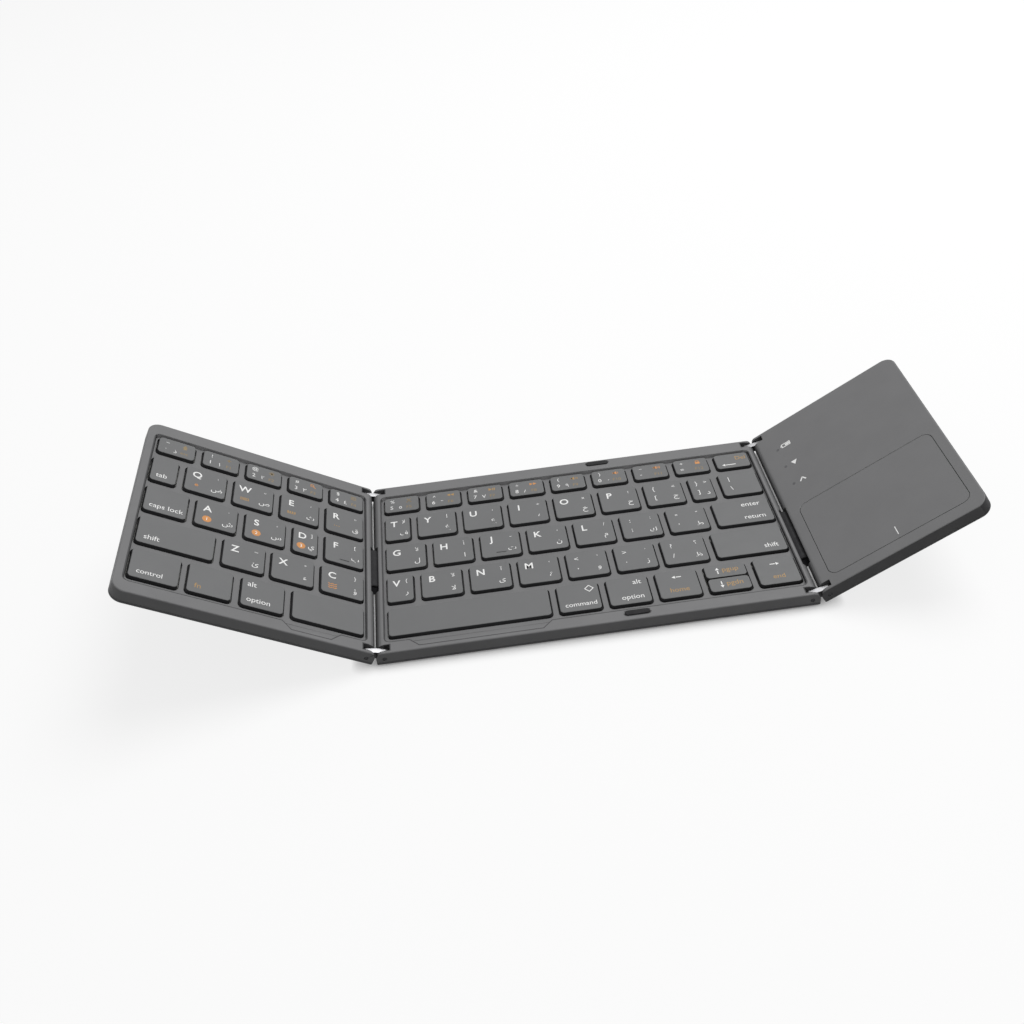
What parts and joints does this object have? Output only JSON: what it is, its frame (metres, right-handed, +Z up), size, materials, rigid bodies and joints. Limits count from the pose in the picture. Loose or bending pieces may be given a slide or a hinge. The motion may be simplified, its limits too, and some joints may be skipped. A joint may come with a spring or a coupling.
{
  "type": "folding keyboard",
  "caption": "Folding pocket keyboard: a centre key panel with a key wing and a touchpad wing that fold over it on link hinges.",
  "frame": {"origin": "centre of the centre panel's resting plane, on the underside of its middle foot", "axes": "+X to the user's right along the key rows, +Y from the user towards the rear, +Z up"},
  "size_m": [0.3111, 0.098, 0.0557],
  "materials": {
    "deck_plastic": "fine matte",
    "case_plastic": "fine matte",
    "key_plastic": "fine matte",
    "link_steel": "satin",
    "pin_steel": "dark satin",
    "plate_steel": "rolled",
    "dome_rubber": "matte",
    "scissor_plastic": "satin",
    "black_rubber": "matte",
    "sleeve_rubber": "matte",
    "ribbon_film": "semi-gloss",
    "screw_steel": "dark satin",
    "battery_foil": "satin",
    "circuit_board": "semi-gloss",
    "socket_steel": "satin",
    "lamp_lens": "frosted"
  },
  "bodies": {
    "base": {"base_bottom_case": "case_plastic", "base_top_cover": "deck_plastic", "base_key_plate": "plate_steel", "base_dome_sheet": "dome_rubber", "base_scissors": "scissor_plastic", "base_feet": "black_rubber", "base_screws": "screw_steel", "base_bumpers": "black_rubber"},
    "left_link": {"left_links": "link_steel", "left_hinge_pins": "pin_steel", "left_cable_sleeve": "sleeve_rubber", "left_ribbon_cable": "ribbon_film"},
    "left_wing": {"left_bottom_case": "case_plastic", "left_top_cover": "deck_plastic", "left_key_plate": "plate_steel", "left_dome_sheet": "dome_rubber", "left_scissors": "scissor_plastic", "left_feet": "black_rubber", "left_screws": "screw_steel"},
    "right_link": {"right_links": "link_steel", "right_hinge_pins": "pin_steel", "right_cable_sleeve": "sleeve_rubber", "right_ribbon_cable": "ribbon_film"},
    "right_wing": {"right_bottom_case": "case_plastic", "right_top_cover": "deck_plastic", "battery": "battery_foil", "controller_board": "circuit_board", "charging_socket": "socket_steel", "indicator_lenses": "lamp_lens", "click_switch": "socket_steel", "right_feet": "black_rubber", "right_screws": "screw_steel"},
    "touchpad": {"touchpad_plate": "deck_plastic", "touch_sensor_board": "circuit_board"},
    "keys_numbers": {"keys_numbers": "key_plastic"},
    "keys_upper_letters": {"keys_upper_letters": "key_plastic"},
    "keys_home_letters": {"keys_home_letters": "key_plastic"},
    "keys_lower_letters": {"keys_lower_letters": "key_plastic"},
    "key_backspace": {"key_backspace": "key_plastic"},
    "key_backslash": {"key_backslash": "key_plastic"},
    "key_enter": {"key_enter": "key_plastic"},
    "key_shift_right": {"key_shift_right": "key_plastic"},
    "key_space_right": {"key_space_right": "key_plastic"},
    "key_command": {"key_command": "key_plastic"},
    "key_option_right": {"key_option_right": "key_plastic"},
    "key_arrow_left": {"key_arrow_left": "key_plastic"},
    "key_arrow_up": {"key_arrow_up": "key_plastic"},
    "key_arrow_down": {"key_arrow_down": "key_plastic"},
    "key_arrow_right": {"key_arrow_right": "key_plastic"},
    "keys_left_numbers": {"keys_left_numbers": "key_plastic"},
    "keys_qwer": {"keys_qwer": "key_plastic"},
    "keys_asdf": {"keys_asdf": "key_plastic"},
    "keys_zxc": {"keys_zxc": "key_plastic"},
    "key_tab": {"key_tab": "key_plastic"},
    "key_caps_lock": {"key_caps_lock": "key_plastic"},
    "key_shift_left": {"key_shift_left": "key_plastic"},
    "key_control": {"key_control": "key_plastic"},
    "key_fn": {"key_fn": "key_plastic"},
    "key_option_left": {"key_option_left": "key_plastic"},
    "key_space_left": {"key_space_left": "key_plastic"}
  },
  "joints": [
    {"name": "left_base_hinge", "type": "hinge", "parent": "base", "child": "left_link", "pos_m": [-0.0802, 0, 0.0037], "axis": [0, 1, 0], "range_deg": [-15.5, 74.5], "deforming": ["left_cable_sleeve", "left_ribbon_cable"]},
    {"name": "left_wing_hinge", "type": "hinge", "parent": "left_link", "child": "left_wing", "pos_m": [-0.08675, 0, 0.00552], "axis": [0, 1, 0], "range_deg": [-15.5, 74.5]},
    {"name": "right_base_hinge", "type": "hinge", "parent": "base", "child": "right_link", "pos_m": [0.0802, 0, 0.0037], "axis": [0, -1, 0], "range_deg": [-15.5, 74.5], "deforming": ["right_cable_sleeve", "right_ribbon_cable"]},
    {"name": "right_wing_hinge", "type": "hinge", "parent": "right_link", "child": "right_wing", "pos_m": [0.08675, 0, 0.00552], "axis": [0, -1, 0], "range_deg": [-15.5, 74.5]},
    {"name": "touchpad_click", "type": "hinge", "parent": "right_wing", "child": "touchpad", "pos_m": [0.11172, -0.0015, 0.02221], "axis": [0.8572, 0, 0.515], "range_deg": [0, 0.5], "stiffness_Nm_per_rad": 5, "springref_deg": -0.29},
    {"name": "keys_numbers_press", "type": "slide", "parent": "base", "child": "keys_numbers", "axis": [0, 0, -1], "range_m": [0, 0.0011], "stiffness_N_per_m": 500, "springref_m": -0.0004},
    {"name": "keys_upper_letters_press", "type": "slide", "parent": "base", "child": "keys_upper_letters", "axis": [0, 0, -1], "range_m": [0, 0.0011], "stiffness_N_per_m": 500, "springref_m": -0.0004},
    {"name": "keys_home_letters_press", "type": "slide", "parent": "base", "child": "keys_home_letters", "axis": [0, 0, -1], "range_m": [0, 0.0011], "stiffness_N_per_m": 500, "springref_m": -0.0004},
    {"name": "keys_lower_letters_press", "type": "slide", "parent": "base", "child": "keys_lower_letters", "axis": [0, 0, -1], "range_m": [0, 0.0011], "stiffness_N_per_m": 500, "springref_m": -0.0004},
    {"name": "key_backspace_press", "type": "slide", "parent": "base", "child": "key_backspace", "axis": [0, 0, -1], "range_m": [0, 0.0011], "stiffness_N_per_m": 500, "springref_m": -0.0004},
    {"name": "key_backslash_press", "type": "slide", "parent": "base", "child": "key_backslash", "axis": [0, 0, -1], "range_m": [0, 0.0011], "stiffness_N_per_m": 500, "springref_m": -0.0004},
    {"name": "key_enter_press", "type": "slide", "parent": "base", "child": "key_enter", "axis": [0, 0, -1], "range_m": [0, 0.0011], "stiffness_N_per_m": 500, "springref_m": -0.0004},
    {"name": "key_shift_right_press", "type": "slide", "parent": "base", "child": "key_shift_right", "axis": [0, 0, -1], "range_m": [0, 0.0011], "stiffness_N_per_m": 500, "springref_m": -0.0004},
    {"name": "key_space_right_press", "type": "slide", "parent": "base", "child": "key_space_right", "axis": [0, 0, -1], "range_m": [0, 0.0011], "stiffness_N_per_m": 500, "springref_m": -0.0004},
    {"name": "key_command_press", "type": "slide", "parent": "base", "child": "key_command", "axis": [0, 0, -1], "range_m": [0, 0.0011], "stiffness_N_per_m": 500, "springref_m": -0.0004},
    {"name": "key_option_right_press", "type": "slide", "parent": "base", "child": "key_option_right", "axis": [0, 0, -1], "range_m": [0, 0.0011], "stiffness_N_per_m": 500, "springref_m": -0.0004},
    {"name": "key_arrow_left_press", "type": "slide", "parent": "base", "child": "key_arrow_left", "axis": [0, 0, -1], "range_m": [0, 0.0011], "stiffness_N_per_m": 500, "springref_m": -0.0004},
    {"name": "key_arrow_up_press", "type": "slide", "parent": "base", "child": "key_arrow_up", "axis": [0, 0, -1], "range_m": [0, 0.0011], "stiffness_N_per_m": 500, "springref_m": -0.0004},
    {"name": "key_arrow_down_press", "type": "slide", "parent": "base", "child": "key_arrow_down", "axis": [0, 0, -1], "range_m": [0, 0.0011], "stiffness_N_per_m": 500, "springref_m": -0.0004},
    {"name": "key_arrow_right_press", "type": "slide", "parent": "base", "child": "key_arrow_right", "axis": [0, 0, -1], "range_m": [0, 0.0011], "stiffness_N_per_m": 500, "springref_m": -0.0004},
    {"name": "keys_left_numbers_press", "type": "slide", "parent": "left_wing", "child": "keys_left_numbers", "axis": [-0.515, 0, -0.8572], "range_m": [0, 0.0011], "stiffness_N_per_m": 500, "springref_m": -0.0004},
    {"name": "keys_qwer_press", "type": "slide", "parent": "left_wing", "child": "keys_qwer", "axis": [-0.515, 0, -0.8572], "range_m": [0, 0.0011], "stiffness_N_per_m": 500, "springref_m": -0.0004},
    {"name": "keys_asdf_press", "type": "slide", "parent": "left_wing", "child": "keys_asdf", "axis": [-0.515, 0, -0.8572], "range_m": [0, 0.0011], "stiffness_N_per_m": 500, "springref_m": -0.0004},
    {"name": "keys_zxc_press", "type": "slide", "parent": "left_wing", "child": "keys_zxc", "axis": [-0.515, 0, -0.8572], "range_m": [0, 0.0011], "stiffness_N_per_m": 500, "springref_m": -0.0004},
    {"name": "key_tab_press", "type": "slide", "parent": "left_wing", "child": "key_tab", "axis": [-0.515, 0, -0.8572], "range_m": [0, 0.0011], "stiffness_N_per_m": 500, "springref_m": -0.0004},
    {"name": "key_caps_lock_press", "type": "slide", "parent": "left_wing", "child": "key_caps_lock", "axis": [-0.515, 0, -0.8572], "range_m": [0, 0.0011], "stiffness_N_per_m": 500, "springref_m": -0.0004},
    {"name": "key_shift_left_press", "type": "slide", "parent": "left_wing", "child": "key_shift_left", "axis": [-0.515, 0, -0.8572], "range_m": [0, 0.0011], "stiffness_N_per_m": 500, "springref_m": -0.0004},
    {"name": "key_control_press", "type": "slide", "parent": "left_wing", "child": "key_control", "axis": [-0.515, 0, -0.8572], "range_m": [0, 0.0011], "stiffness_N_per_m": 500, "springref_m": -0.0004},
    {"name": "key_fn_press", "type": "slide", "parent": "left_wing", "child": "key_fn", "axis": [-0.515, 0, -0.8572], "range_m": [0, 0.0011], "stiffness_N_per_m": 500, "springref_m": -0.0004},
    {"name": "key_option_left_press", "type": "slide", "parent": "left_wing", "child": "key_option_left", "axis": [-0.515, 0, -0.8572], "range_m": [0, 0.0011], "stiffness_N_per_m": 500, "springref_m": -0.0004},
    {"name": "key_space_left_press", "type": "slide", "parent": "left_wing", "child": "key_space_left", "axis": [-0.515, 0, -0.8572], "range_m": [0, 0.0011], "stiffness_N_per_m": 500, "springref_m": -0.0004}
  ],
  "couplings": [
    {"joint": "left_wing_hinge", "follows": "left_base_hinge", "ratio": 1},
    {"joint": "right_wing_hinge", "follows": "right_base_hinge", "ratio": 1}
  ]
}
